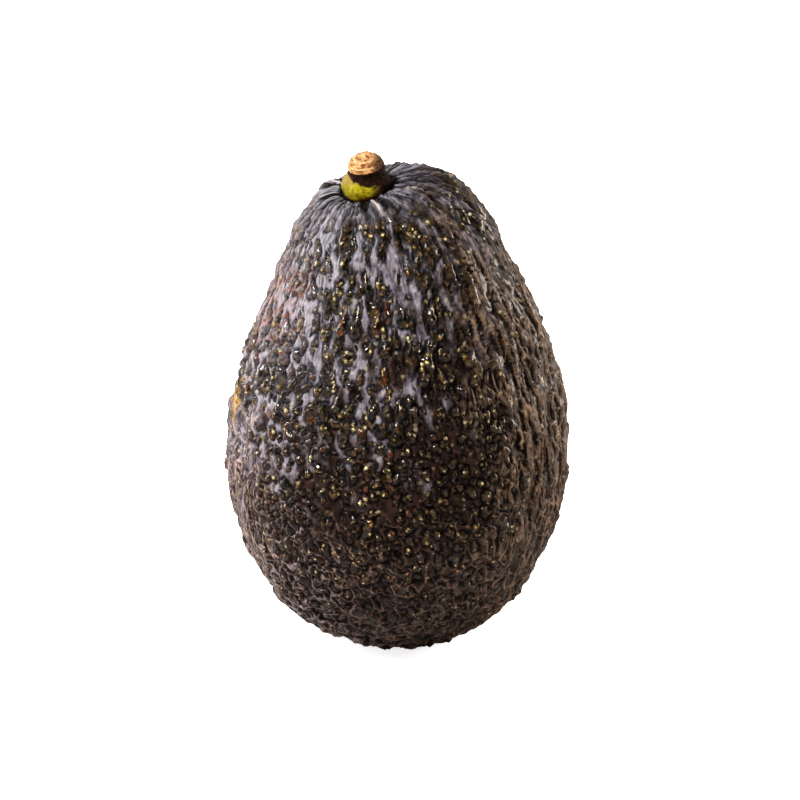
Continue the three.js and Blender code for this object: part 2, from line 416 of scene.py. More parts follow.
def add_pimples(warts, random):
    """Small warts in between, some of them grown on to a main one."""
    polar = np.arccos(1 - 2 * random.random(PIMPLES))
    azimuth = 2 * math.pi * random.random(PIMPLES)
    place = at_polar(polar)
    direction = sphere_direction(polar, azimuth)
    bare = on_lip(place) | (place["along"] > part_way(PIMPLE_END, random.random(PIMPLES)))
    size = part_way(PIMPLE_SIZE, random.random(PIMPLES))
    ratio = np.sin(polar) / np.maximum(place["radius"], 1e-9)
    index = []
    for dart in np.flatnonzero(~bare):
        to_main = np.linalg.norm(warts["direction"] - direction[dart], axis=1) / warts["reach"]
        to_small = np.linalg.norm(direction[index] - direction[dart], axis=1)
        if to_main.min() > PIMPLE_ROOM and np.all(to_small > PIMPLE_GAP * ratio[dart]):
            index.append(dart)
    small = {
        "direction": direction[index],
        "polar": polar[index],
        "azimuth": azimuth[index],
        "reach": 2 * size[index] * ratio[index],
        "along": place["along"][index],
    }
    warts["small"] = np.repeat((0.0, 1.0), (len(warts["reach"]), len(index)))
    for name in small:
        warts[name] = np.concatenate([warts[name], small[name]])


def bloomed_share(azimuth, height):
    cosine_range, height_range = BLOOMED
    return smooth(-np.cos(azimuth), *cosine_range) * smooth(height, *height_range)


def grooved_share(azimuth, along):
    share = sum(smooth(np.cos(azimuth), *cosine) * smooth(along, *reach) for cosine, reach in GROOVED)
    return share * (1 - GROOVED_FADE * smooth(along, *GROOVED_END))


def size_warts(warts, random):
    """Each wart's width and height: large and small in clusters, some faint on the neck, alike low down."""
    count = len(warts["reach"])
    along, low, small = warts["along"], warts["low"], warts["small"]
    centre = body_point(at_polar(warts["polar"])["v"], warts["azimuth"])
    cluster = np.clip(0.5 + CLUSTER_CONTRAST * field("clusters", centre), 0, 1)
    size = 0.5 * cluster + 0.5 * random.random(count)
    share = part_way(WART_SHARE, size)
    share = share + (LOW_SHARE - share) * LOW_LIKENESS * low
    share = np.where(small > 0, 1, share)
    faint = random.random(count) < FAINT * (1 - smooth(along, *FAINT_RANGE)) * (1 - small)
    share = np.where(faint, FAINT_SHARE, share * (1 + NECK_GROWTH * warts["neck"]))
    warts["width"] = share * warts["reach"] / 2

    size = 0.7 * size + 0.3 * random.random(count)
    main = part_way(WART_HEIGHT, size) * (1 - FLATTER_LOW * low)
    height = np.where(small > 0, part_way(PIMPLE_HEIGHT, size), main)
    height = height * (1 - FLATTER_BELOW * smooth(along, *BELLY_RANGE))
    height = np.where(faint, FAINT_HEIGHT, height)
    sunk = bloomed_share(warts["azimuth"], centre[:, 2])
    height = height * (1 - FLATTER_BLOOMED * sunk) * (1 - FLATTER_GROOVED * warts["grooved"])
    warts["height"] = height * smooth(along, *LIP_WARTS)


def shape_warts(warts):
    """Each wart's own size, tail, outline, stance and age, a number that varies its colour."""
    random = np.random.default_rng(WART_SEED)
    add_pimples(warts, random)
    count = len(warts["reach"])
    warts["neck"] = 1 - smooth(warts["along"], *NECK_RANGE)
    warts["low"] = smooth(warts["along"], *LOW)
    warts["grooved"] = grooved_share(warts["azimuth"], warts["along"])
    size_warts(warts, random)
    warts["tail"] = 1 + TAIL * warts["neck"] * random.random(count)
    warts["age"] = random.random(count)
    warts["lobe"] = 2 * math.pi * random.random(count)
    drawn_out = part_way(STRETCH, random.random(count)) * (1 - warts["low"])
    warts["long"] = 1 + GROOVED_STRETCH * warts["grooved"] + drawn_out
    east = np.stack([-np.sin(warts["azimuth"]), np.cos(warts["azimuth"]), 0 * warts["azimuth"]], -1)
    north = np.cross(warts["direction"], east)
    turn = (TURN * (2 * random.random(count) - 1))[:, None]
    warts["east"] = east * np.cos(turn) + north * np.sin(turn)
    warts["north"] = north * np.cos(turn) - east * np.sin(turn)
    return warts


warts = shape_warts(throw_warts())


def nearest_warts(directions, count):
    tree = KDTree(len(warts["direction"]))
    for i, centre in enumerate(warts["direction"]):
        tree.insert(centre, i)
    tree.balance()
    return np.array([[hit[1] for hit in tree.find_n(direction, count)] for direction in directions])


def wart_place(directions, owner):
    """Where directions lie on their wart: across and towards the stem, in wart widths, and how far out."""
    away = directions - warts["direction"][owner]
    width = warts["width"][owner]
    across = np.sum(away * warts["east"][owner], -1) / width
    up = np.sum(away * warts["north"][owner], -1) / width
    tail = np.where(up > 0, warts["tail"][owner], 1)
    up = up / tail / warts["long"][owner]
    across = across * (1 + 0.5 * (tail - 1) * np.clip(up, 0, 1))
    angle = np.arctan2(up, across)
    lobe = warts["lobe"][owner]
    three, five = LOBES
    lobed = 1 + three * np.sin(3 * angle + lobe) + five * np.sin(5 * angle - 2 * lobe)
    return across, up, np.hypot(across, up) * lobed


# ---------------------------------------------------------------- the skin's relief

def frayed(points):
    """How much wider or narrower than its plain shape a wart is at these points."""
    return 1 + FRAY * field("fray", points)


def pushed(directions, points, place):
    """Directions pushed about a little, so that no wart or valley keeps a plain outline."""
    push = np.stack([field("push " + axis, points) for axis in "xyz"], -1)
    ratio = np.linalg.norm(directions[:, :2], axis=1) / np.maximum(place["radius"], 1e-3)
    reach = part_way(WARP, smooth(place["along"], *WARP_RANGE))
    directions = directions + (reach * ratio)[:, None] * push
    return directions / np.linalg.norm(directions, axis=1, keepdims=True)


def wart_domes(directions, near, reach, low):
    """The warts: knobby with steep sides, or low down soft lumps, each with a ridge behind it on the neck."""
    flat, steep = DOME_POWERS
    dome = np.zeros(len(directions))
    for owner, out in zip(near.T, reach.T):
        across, up, _ = wart_place(directions, owner)
        knobby = np.clip(1 - np.clip(out, 0, 1) ** flat, 0, 1) ** steep
        lump = (1 - np.clip(out / LUMP_REACH, 0, 1) ** 2) ** LUMP_POWER
        rounded = knobby + (lump - knobby) * low
        trail = np.exp(-(across / TAIL_WIDTH) ** 2) * smooth(up, *TAIL_START) * (1 - smooth(up, *TAIL_END))
        trail = TAIL_RIDGE * trail * warts["neck"][owner]
        dome = np.maximum(dome, warts["height"][owner] * np.maximum(rounded, trail))
    return dome


def ridge_way(points, flow, low, grooved):
    """A field whose zeros are the lines that the ridges follow: winding, or combed along the skin."""
    wiggle = field("wiggle", points)[:, None]
    winding = field("winding ridges", flow + WAVER["winding"] * wiggle) * (1 - low)
    winding = winding + field("low ridges", points + WAVER["low"] * wiggle) * low
    combed = field("long ridges", flow * (1, 1, COMB) + WAVER["long"] * wiggle)
    return winding * (1 - grooved) + combed * grooved


def uneven_plains(points, flow, off_wart, low, grooved):
    lumps = LUMP_HEIGHT[0] * field("lumps", points) * (1 - 0.7 * grooved) * (1 + 1.5 * low)
    lumps += LONG_LUMPS * field("long lumps", flow) * grooved
    lumps += LUMP_HEIGHT[1] * field("small lumps", points) * off_wart * (1 - grooved)
    return lumps


def socket_folds(points, azimuth, along):
    wavy = azimuth + FOLD_WAVER * field("waver of the folds", points)
    folds = np.sin(FOLDS * wavy + 1.3 * np.sin(3 * azimuth + 1)) + 0.6 * np.sin(BROAD_FOLDS * wavy + 2)
    shown = smooth(along, *FOLD_START) * (1 - smooth(along, *FOLD_END))
    return FOLD_HEIGHT * folds * shown


def skin_relief(directions, points, azimuth, place, flow):
    """How far the skin stands out from the smooth body, and what its material reads, by name."""
    near = nearest_warts(directions, NEAR_WARTS)
    reach = np.stack([wart_place(directions, owner)[2] for owner in near.T], 1)
    reach *= frayed(points)[:, None]
    nearest, second = np.sort(reach, 1)[:, :2].T
    off_wart = smooth(nearest, 0.7, 1.1)
    low = smooth(place["along"], *LOW)
    round_by, along_by = GROOVED_WAVER
    grooved = grooved_share(
        azimuth + round_by * field("border round", points),
        place["along"] + along_by * field("border along", points),
    )
    plainer = np.maximum(low, grooved)

    dome = wart_domes(directions, near, reach, low)
    dome *= 1 + KNOBS * field("knobs", points) * (1 - 0.6 * plainer)
    moat = np.exp(-((nearest - MOAT_PLACE) / MOAT_WIDTH) ** 2) * (1 - 0.8 * grooved) * (1 - 0.6 * low)
    way = ridge_way(points, flow, low, grooved)
    crest = np.exp(-((way / CREST_WIDTH) ** 2)) * (0.4 * off_wart * (1 - plainer) + plainer) * (1 - 0.6 * low)
    net = np.exp(-((second - nearest) / NET_WIDTH) ** 2)
    net = net * smooth(field("gaps in the net", points), *NET_GAPS) * low * (1 - 0.8 * grooved)
    ridges = np.maximum(crest * part_way(CREST_HEIGHT, plainer), NET_HEIGHT * net)
    lumps = uneven_plains(points, flow, off_wart, low, grooved)
    fuller = FULLER[0] * grooved + FULLER[1] * bloomed_share(azimuth, place["height"])

    lip = smooth(place["along"], *BARE_WALL)
    foot = smooth(place["height"], *FOOT_HEIGHT)
    relief = dome + (fuller + lumps + ridges - MOAT_DEPTH * moat - PLAIN_DEPTH) * lip * foot
    relief = relief + socket_folds(points, azimuth, place["along"])
    return relief, {"moat": moat * lip, "way": way, "grooved": grooved}


# ---------------------------------------------------------------- making meshes

def start_mesh(name):
    """Names the object that the last operator added, and its mesh."""
    piece = bpy.context.object
    piece.name = name
    piece.data.name = name
    return piece


def deselect_all():
    if bpy.context.object and bpy.context.object.mode != "OBJECT":
        bpy.ops.object.mode_set(mode="OBJECT")
    bpy.ops.object.select_all(action="DESELECT")


def mesh_points(mesh):
    points = np.empty(len(mesh.vertices) * 3)
    mesh.vertices.foreach_get("co", points)
    return points.reshape(-1, 3)


def set_mesh_points(mesh, points):
    mesh.vertices.foreach_set("co", np.ascontiguousarray(points, dtype=np.float32).ravel())
    mesh.update()


def store(mesh, name, values, domain="POINT"):
    """Keeps numbers on a mesh for its material to read: one or three for each point or corner."""
    kind = "FLOAT_VECTOR" if values.ndim == 2 else "FLOAT"
    attribute = mesh.attributes.new(name, kind, domain)
    part = "vector" if values.ndim == 2 else "value"
    attribute.data.foreach_set(part, np.ascontiguousarray(values, dtype=np.float32).ravel())


def evened(mesh, values, rounds):
    """Values at a mesh's points, each shared out among its neighbours a few times."""
    ends = np.empty(len(mesh.edges) * 2, dtype=np.int32)
    mesh.edges.foreach_get("vertices", ends)
    start, end = ends.reshape(-1, 2).T
    count = len(mesh.vertices)
    neighbours = np.bincount(start, minlength=count) + np.bincount(end, minlength=count)
    for _ in range(rounds):
        total = np.bincount(start, values[end], count) + np.bincount(end, values[start], count)
        values = (values + total) / (1 + neighbours)
    return values


def make_skin():
    """A finely divided block, rounded on to the warts' sphere and laid on the fruit."""
    deselect_all()
    bpy.ops.mesh.primitive_cube_add(size=2)
    skin = start_mesh("pebbled_skin")
    bpy.ops.object.mode_set(mode="EDIT")
    bpy.ops.mesh.select_all(action="SELECT")
    bpy.ops.mesh.subdivide(number_cuts=63)
    bpy.ops.mesh.subdivide(number_cuts=1)
    bpy.ops.object.mode_set(mode="OBJECT")
    mesh = skin.data
    directions = np.tan(mesh_points(mesh) * math.pi / 4)  # evens out the divisions on the sphere
    directions /= np.linalg.norm(directions, axis=1, keepdims=True)
    polar = np.arccos(np.clip(directions[:, 2], -1, 1))
    azimuth = np.arctan2(directions[:, 1], directions[:, 0])
    place = at_polar(polar)
    round_bar = FLOW_RADIUS * np.cos(azimuth), FLOW_RADIUS * np.sin(azimuth)
    flow = np.stack([*round_bar, place["along"] / FLOW_SLOWING], -1)
    points = body_point(place["v"], azimuth)
    fray = frayed(points)
    directions = pushed(directions, points, place)
    relief, readings = skin_relief(directions, points, azimuth, place, flow)
    raised = relief + swell(place["v"], azimuth)
    points += body_normal(place["v"], azimuth) * raised[:, None]
    points[:, 2] = np.maximum(points[:, 2], 0)
    set_mesh_points(mesh, points * MM)
    bpy.ops.object.shade_smooth()
    readings.update(flow=flow, along=place["along"], cavity=relief - evened(mesh, relief, 3))
    for name, values in readings.items():
        store(mesh, name, values)
    store_warts(mesh, directions, fray)
    return skin


def store_warts(mesh, directions, fray):
    """Gives each face's corners their nearest wart's age, and how far out on it and on the next they lie."""
    corner_point = np.empty(len(mesh.loops), dtype=np.int32)
    mesh.loops.foreach_get("vertex_index", corner_point)
    quads = corner_point.reshape(-1, 4)
    middle = directions[quads].mean(1)
    middle /= np.linalg.norm(middle, axis=1, keepdims=True)
    near = nearest_warts(middle, 5)
    rank = np.stack([wart_place(middle, owner)[2] for owner in near.T], 1).argsort(1)
    owner, next_owner = (np.repeat(near[np.arange(len(near)), rank[:, i]], 4) for i in (0, 1))
    store(mesh, "wart_age", warts["age"][owner], "CORNER")
    for name, wart in (("wart_edge", owner), ("next_wart_edge", next_owner)):
        out = wart_place(directions[corner_point], wart)[2]
        store(mesh, name, out * fray[corner_point], "CORNER")


def make_stem():
    """The stub, drawn up ring by ring from its foot, then rounded and roughened."""
    deselect_all()
    radius, height = STEM_PROFILE[0]
    bpy.ops.mesh.primitive_circle_add(vertices=STEM_SIDES, radius=radius, fill_type="NGON")
    stem = start_mesh("stem_stub")
    bpy.ops.object.mode_set(mode="EDIT")
    bpy.ops.mesh.select_all(action="SELECT")
    bpy.ops.transform.translate(value=(0, 0, height))
    for next_radius, next_height in [*STEM_PROFILE[1:], STEM_TIP]:
        bpy.ops.mesh.extrude_region_move(TRANSFORM_OT_translate={"value": (0, 0, next_height - height)})
        share = next_radius / radius
        bpy.ops.transform.resize(value=(share, share, 1), center_override=(0, 0, next_height))
        radius, height = next_radius, next_height
    bpy.ops.mesh.select_all(action="SELECT")
    bpy.ops.mesh.normals_make_consistent(inside=False)
    bpy.ops.object.mode_set(mode="OBJECT")
    rounding = stem.modifiers.new("rounding", "SUBSURF")
    rounding.levels = rounding.render_levels = 2
    bpy.ops.object.modifier_apply(modifier=rounding.name)
    roughen_stem(stem.data)
    bpy.ops.object.shade_smooth()
    return stem


def roughen_stem(mesh):
    """Bark, ledges of cork and a rough top; then the stub is leant over and set in its socket."""
    grown = mesh_points(mesh)
    store(mesh, "grown", grown)
    angle = np.arctan2(grown[:, 1], grown[:, 0])
    height = grown[:, 2]
    bulge = BARK_BULGE * np.exp(-((height - BARK_HEIGHT) / BARK_SPREAD) ** 2)
    cork = smooth(height, *CORK_RANGE)
    dead = smooth(height + 0.6 * grown[:, 0], *BARK_RANGE) * (1 - 0.5 * smooth(height, 4, 4.6))
    wavy = height + LEDGE_WAVER * field("waver of the ledges", grown)
    ledge = np.sin(2 * math.pi * wavy / LEDGE_GAP) * cork
    store(mesh, "ledge", ledge)
    wide = 1 + bulge * np.cos(angle) + OVAL * np.sin(2 * angle)
    wide = wide + dead * BARK_ROUGH * field("bark", grown * (1, 1, 1.6)) + STUB_ROUGH * field("stub", grown)
    wide = wide + LEDGE_DEPTH * ledge * (1 - smooth(height, *LEDGE_END))
    points = grown * np.stack([wide, wide, np.ones_like(wide)], -1)
    points[:, 2] += TOP_ROUGH * smooth(height, *TOP_RANGE) * field("cap", grown)
    turn = Vector((0, 0, 1)).rotation_difference(STEM_AXIS).to_matrix()
    foot = body_point(np.array(0.0), np.array(0.0))
    foot = foot + np.array(STEM_AXIS) * (STEM_CLEARANCE - STEM_PROFILE[0][1])
    set_mesh_points(mesh, (points @ np.array(turn).T + foot) * MM)


# ---------------------------------------------------------------- materials

class Nodes:
    """A node tree, written as formulas: what a call is given is linked, or set if it is a plain value."""

    def __init__(self, tree):
        self.tree = tree

    def add(self, kind, inputs=None, **settings):
        node = self.tree.nodes.new(kind)
        for name, value in settings.items():
            setattr(node, name, value)
        for name, value in (inputs or {}).items():
            socket = node.inputs[name]
            if isinstance(value, bpy.types.NodeSocket):
                self.tree.links.new(value, socket)
            else:
                socket.default_value = value
        return node

    def math(self, operation, a, b=0.0):
        return self.add("ShaderNodeMath", {0: a, 1: b}, operation=operation).outputs[0]

    def plus(self, *terms):
        return reduce(lambda a, b: self.math("ADD", a, b), terms)

    def minus(self, a, b):
        return self.math("SUBTRACT", a, b)

    def times(self, *factors):
        return reduce(lambda a, b: self.math("MULTIPLY", a, b), factors)

    def most(self, *values):
        return reduce(lambda a, b: self.math("MAXIMUM", a, b), values)

    def unsigned(self, value):
        return self.math("ABSOLUTE", value)

    def vector_math(self, operation, a, b, output="Vector"):
        return self.add("ShaderNodeVectorMath", {0: a, 1: b}, operation=operation).outputs[output]

    def scaled(self, vector, x, y, z):
        return self.vector_math("MULTIPLY", vector, (x, y, z))

    def distance(self, place, point):
        return self.vector_math("DISTANCE", place, point, "Value")

    def parts(self, vector):
        return self.add("ShaderNodeSeparateXYZ", {0: vector}).outputs

    def between(self, value, low, high, to_low=0.0, to_high=1.0):
        inputs = {"Value": value, "From Min": low, "From Max": high, "To Min": to_low, "To Max": to_high}
        return self.add("ShaderNodeMapRange", inputs, interpolation_type="SMOOTHSTEP").outputs["Result"]

    def mix(self, factor, a, b):
        return self.add("ShaderNodeMix", {0: factor, 6: a, 7: b}, data_type="RGBA").outputs[2]

    def blend(self, factor, a, b):
        return self.add("ShaderNodeMix", {0: factor, 2: a, 3: b}, data_type="FLOAT").outputs[0]

    def mottled(self, pattern, low, high, dark, light):
        inputs = {"Pattern": pattern, "From": low, "To": high, "Dark": dark, "Light": light}
        return self.add("ShaderNodeGroup", inputs, node_tree=mottling).outputs["Colour"]

    def noise(self, vector, size, detail=2.0, rough=0.5):
        inputs = {"Vector": vector, "Scale": 1 / size, "Detail": detail, "Roughness": rough}
        return self.add("ShaderNodeTexNoise", inputs).outputs["Fac"]

    def stored(self, name, output="Fac"):
        return self.add("ShaderNodeAttribute", attribute_name=name).outputs[output]


def mottling_group():
    """Two tones of one finish: dark where a pattern is at one value, and light where it is at another."""
    group = bpy.data.node_groups.new("mottling", "ShaderNodeTree")
    for name in ("Pattern", "From", "To"):
        group.interface.new_socket(name, in_out="INPUT", socket_type="NodeSocketFloat")
    for name in ("Dark", "Light"):
        group.interface.new_socket(name, in_out="INPUT", socket_type="NodeSocketColor")
    group.interface.new_socket("Colour", in_out="OUTPUT", socket_type="NodeSocketColor")
    n = Nodes(group)
    given = n.add("NodeGroupInput").outputs
    share = n.between(given["Pattern"], given["From"], given["To"])
    n.add("NodeGroupOutput", {"Colour": n.mix(share, given["Dark"], given["Light"])})
    return group


mottling = mottling_group()


def rgb(red, green, blue):
    """A colour as a paint chart gives it, 0 to 255, made linear."""
    def linear(c):
        c = c / 255
        return c / 12.92 if c <= 0.04045 else ((c + 0.055) / 1.055) ** 2.4
    return linear(red), linear(green), linear(blue), 1.0


# Mottled finishes: the pattern's value at the dark and at the light tone, and the two tones
BARE = (0.3, 0.7, rgb(12, 7, 6), rgb(54, 37, 31))
# painted shade and light: dark in the hollows of the long ridges and light on their crests, by the skin's
# cavity
GROOVED_BARE = (-0.08, 0.14, rgb(22, 15, 12), rgb(110, 95, 84))
LOW_BARE = (0.35, 0.6, rgb(12, 7, 7), rgb(42, 30, 26))
ASH = (0.34, 0.64, rgb(71, 66, 72), rgb(120, 117, 126))
# lighter bloom on the upper -X shoulder: partly a painted sheen where the key light falls
SHOULDER_ASH_AND_SHEEN = (0.32, 0.66, rgb(78, 75, 81), rgb(131, 130, 138))
GROOVED_ASH = (0.3, 0.7, rgb(62, 54, 60), rgb(122, 113, 122))
# the crests' pale tone, paler and cooler towards -X: partly dry skin, partly a painted highlight, strongest
# on the lit side
PALE = (5.0, -25.0, rgb(140, 117, 98), rgb(172, 154, 149))
OLIVE_WART = (0.42, 0.66, rgb(10, 7, 4), rgb(58, 44, 23))
RUSTY_WART = (0.42, 0.66, rgb(16, 9, 6), rgb(84, 48, 28))
# painted sheen on the net's raised lines at the sides, paler and cooler towards -X
PAINTED_SIDE_SHEEN = (4.0, -24.0, rgb(110, 94, 80), rgb(146, 140, 152))
# golden lenticel tips; their cream tone is partly a painted highlight on the knobs
GOLD = (0.3, 1.0, rgb(206, 198, 160), rgb(138, 112, 72))
LOW_GOLD = (0.3, 0.9, rgb(200, 180, 146), rgb(160, 108, 52))
COLLAR = (0.35, 0.65, rgb(98, 92, 12), rgb(154, 148, 32))
BARK = (0.4, 0.7, rgb(10, 5, 3), rgb(62, 34, 22))
CORK = (0.36, 0.62, rgb(92, 58, 38), rgb(192, 152, 110))

# Plain tones of the skin
# low down the same pale tone, partly a painted highlight on the crests
LOW_PALE = rgb(160, 142, 128)
LOW_WART = (rgb(6, 3, 5), rgb(32, 23, 26))
# painted shade: the plains darkened next to the warts, where their shade falls
PAINTED_WART_SHADE = rgb(14, 8, 7)
# painted shade in the valleys of the folds round the stem, and a painted highlight on their crests
PUCKER_PAINTED_SHADE = rgb(14, 10, 10)
PUCKER_PAINTED_HIGHLIGHT = rgb(168, 160, 156)
# painted sheen: soft light bands along the ridges low down
PAINTED_RIDGE_SHEEN = rgb(108, 92, 88)
# painted shade: near-black in the moats, the hollows and a line round each wart
VALLEY = rgb(5, 2, 2)
OLIVE = rgb(86, 73, 40)
TIP_RING = rgb(104, 82, 34)
BLUSH = rgb(134, 88, 66)
SCUFF = rgb(140, 112, 60)
# painted shadow: the dark socket round the stem's foot
SOCKET = rgb(20, 11, 6)

# Plain tones of the stem
DRIED_SPECKS = rgb(150, 128, 70)
DRIED_TOP = rgb(118, 100, 56)
# painted shade on the collar's +X side, away from the light
PAINTED_SIDE_SHADE = rgb(72, 56, 22)
BROWN_FOOT = rgb(104, 70, 26)
# paler cork on the ledges' tops: partly its own lines, partly a painted highlight
CORK_LEDGE = rgb(226, 198, 156)
# painted shade on the cap's +X side, away from the light
PAINTED_CORK_SHADE = rgb(56, 36, 22)

# Where a colour comes in: the distances along the skin at which it begins and is full
LOW_COLOURS = (70.0, 100.0)
FIRST_WARTS = (10.0, 17.0)
FIRST_TIPS = (10.0, 18.0)
# where the painted shade next to the warts begins
FIRST_PAINTED_WART_SHADE = (12.0, 22.0)
FIRST_GLOSS = (12.0, 24.0)
PUCKERS = (18.0, 9.0)
# where the painted shadow in the socket ends
SOCKET_RIM = (6.4, 5.6)

# The same by the distance from a wart's centre in half widths, from a ridge's line, or in height
WART_RIM = (1.06, 0.78)
# how far out from a wart the painted shade on the plains reaches
PAINTED_WART_SHADE_RIM = (1.42, 1.05)
OUTLINE_PLACE = 1.1
OUTLINE_WIDTH = (0.2, 0.05)
FINE_CREST = (0.05, 0.01)
BROAD_CREST = (0.16, 0.0)
SOFT_CREST = (0.12, 0.0)
HOLLOW = (0.0, -0.12)

# The bloom, partly a painted sheen high up and on the lit -X side, and the marks
BLOOM_HEIGHT = 66.0  # the bloom gathers above it
BLOOM_RISE = 0.01  # for each millimetre of height
BLOOM_LEAN = -0.00022  # less of it towards +X, for each square millimetre of X times height
BLOOM_PATCHES = 1.3  # how strongly it follows the skin's flow
BLOOM_EDGE = (0.35, 0.75)
BLUSH_PLACE = (-27, -8, 78)
BLUSH_REACH = (17.0, 4.0)
SCUFF_PLACE = (-33, -6, 55)
SCUFF_REACH = (5.5, 2.5)
SCUFF_WAVER = 12.0


def new_material(name):
    material = bpy.data.materials.new(name)
    material.use_nodes = True
    material.node_tree.nodes.clear()
    return material, Nodes(material.node_tree)


def finish_material(n, inputs, relief=None):
    """The material's shader, with a fine relief in millimetres where one is given."""
    if relief is not None:
        bump = n.add("ShaderNodeBump", {"Height": relief, "Distance": MM, "Strength": 1.0})
        inputs["Normal"] = bump.outputs[0]
    shader = n.add("ShaderNodeBsdfPrincipled", inputs)
    n.add("ShaderNodeOutputMaterial", {"Surface": shader.outputs[0]})


def read_skin(n):
    """What the mesh tells about a place on the skin, and the noise that breaks up every pattern there."""
    s = SimpleNamespace()
    s.place = n.scaled(n.add("ShaderNodeTexCoord").outputs["Object"], PER_METRE, PER_METRE, PER_METRE)
    s.x, _, s.height = n.parts(s.place)
    s.flow = n.stored("flow", "Vector")
    s.round_x = n.parts(s.flow)[0]
    s.along = n.stored("along")
    s.moat = n.stored("moat")
    s.way = n.unsigned(n.stored("way"))
    s.cavity = n.stored("cavity")
    s.grooved = n.stored("grooved")
    s.age = n.stored("wart_age")
    edge = n.stored("wart_edge")
    s.rim = n.unsigned(n.minus(n.stored("next_wart_edge"), edge))

    s.fine = n.noise(s.place, 0.5, 3.0, 0.6)
    s.middling = n.noise(s.place, 1.4, 2.0, 0.55)
    s.streaks = n.noise(s.flow, 0.9, 4.0, 0.65)
    s.puckers = n.noise(n.scaled(s.flow, 1, 1, 0.5), 4.0, 2.0)
    s.fray = n.times(n.minus(s.fine, 0.5), 0.5)
    s.frayed_edge = n.plus(edge, s.fray)
    s.frayed_cavity = n.plus(s.cavity, n.times(s.fray, 0.2))
    return s


def add_masks(n, s):
    """Where on the skin each thing lies: the zones, the warts, the crests of the ridges and the bloom, which
    is partly a painted sheen on the lit upper -X side.
    """
    s.low = n.between(s.along, *LOW_COLOURS)
    s.ridged = n.most(s.low, s.grooved)
    s.near_stem = n.between(s.along, *PUCKERS)
    on_dome = n.between(s.frayed_edge, *WART_RIM)
    s.on_wart = n.times(on_dome, n.blend(s.grooved, 1.0, 0.45), n.between(s.along, *FIRST_WARTS))
    # thin crest lines that are painted pale: partly dry skin, partly a painted highlight
    s.high = n.times(
        n.between(n.plus(s.way, n.times(s.fray, 0.04)), *FINE_CREST),
        n.between(s.cavity, -0.02, 0.05),
        n.between(n.noise(s.place, 2.2, 2.0), 0.3, 0.55, 0.2, 1.0),
        n.blend(s.low, 1.0, 0.4),
    )
    # warts dusted with bloom high on the -X side: partly bloom, partly a painted sheen on the lit side
    s.dusted = n.times(n.between(s.round_x, -13.0, -25.0), n.between(s.height, 56.0, 76.0))

    # more bloom high up and towards -X: partly a painted sheen on the lit side
    lean = n.plus(
        n.times(s.x, BLOOM_LEAN, s.height),
        n.between(s.round_x, -20.0, -29.0, 0.0, 0.24),
        n.between(s.height, 58.0, 40.0, 0.0, -0.14),
    )
    s.shoulder = n.plus(n.times(n.minus(s.height, BLOOM_HEIGHT), BLOOM_RISE), lean)
    patches = n.times(n.minus(n.noise(s.flow, 2.6, 1.0), 0.5), BLOOM_PATCHES)
    s.bloom = n.between(n.plus(n.noise(s.place, 9.0, 2.0), patches, s.shoulder), *BLOOM_EDGE)


def plains_colour(n, s):
    """A matte lilac-grey bloom on the shoulder, partly a painted sheen, dark purple-brown elsewhere; painted
    shade next to the warts and in the folds by the stem, and pale crests, partly a painted highlight.
    """
    ash = n.mottled(s.streaks, *ASH)
    # lighter bloom on the shoulder, partly a painted sheen
    ash = n.mix(n.between(s.shoulder, 0.2, 0.45), ash, n.mottled(s.streaks, *SHOULDER_ASH_AND_SHEEN))
    s.ash = n.mix(s.grooved, ash, n.mottled(s.streaks, *GROOVED_ASH))
    # painted shade in the long ridges' hollows and painted light on their crests
    bare = n.mix(s.grooved, n.mottled(s.streaks, *BARE), n.mottled(s.frayed_cavity, *GROOVED_BARE))
    bare = n.mix(s.low, bare, n.mottled(s.middling, *LOW_BARE))
    s.pale = n.mix(n.times(s.low, 0.3), n.mottled(s.x, *PALE), LOW_PALE)

    plain = n.mix(s.bloom, bare, s.ash)
    # painted shade on the plains next to each wart
    painted_wart_shade = n.times(n.between(s.frayed_edge, *PAINTED_WART_SHADE_RIM), n.blend(s.ridged, 0.32, 0.2))
    plain = n.mix(n.times(painted_wart_shade, n.between(s.along, *FIRST_PAINTED_WART_SHADE)), plain, PAINTED_WART_SHADE)
    # painted shade in the folds' valleys near the stem, and a painted highlight on their crests
    plain = n.mix(n.times(n.between(s.puckers, 0.51, 0.38), s.near_stem), plain, PUCKER_PAINTED_SHADE)
    plain = n.mix(n.times(n.between(s.puckers, 0.52, 0.66, 0.0, 0.7), s.near_stem), plain, PUCKER_PAINTED_HIGHLIGHT)
    # painted sheen along the low ridges
    plain = n.mix(n.times(n.between(s.way, *SOFT_CREST), s.low, 0.25), plain, PAINTED_RIDGE_SHEEN)
    # pale crests: partly dry skin, partly a painted highlight
    return n.mix(n.times(s.high, n.blend(s.ridged, 0.15, 0.75)), plain, s.pale)


def wart_colour(n, s):
    """Near-black olive, some rust brown; greyer low down, and dusted with bloom high on the -X side, partly a
    painted sheen there.
    """
    rusty = n.times(n.between(s.age, 0.5, 0.9), n.between(s.x, 12.0, -6.0, 0.25, 1.0))
    dome = n.mix(rusty, n.mottled(s.middling, *OLIVE_WART), n.mottled(s.middling, *RUSTY_WART))
    dome = n.mix(s.low, dome, n.mix(n.times(s.high, 0.4), n.mix(s.middling, *LOW_WART), s.pale))
    return n.mix(n.times(s.dusted, n.between(s.fine, 0.75, 0.35, 0.3, 0.8)), dome, s.ash)


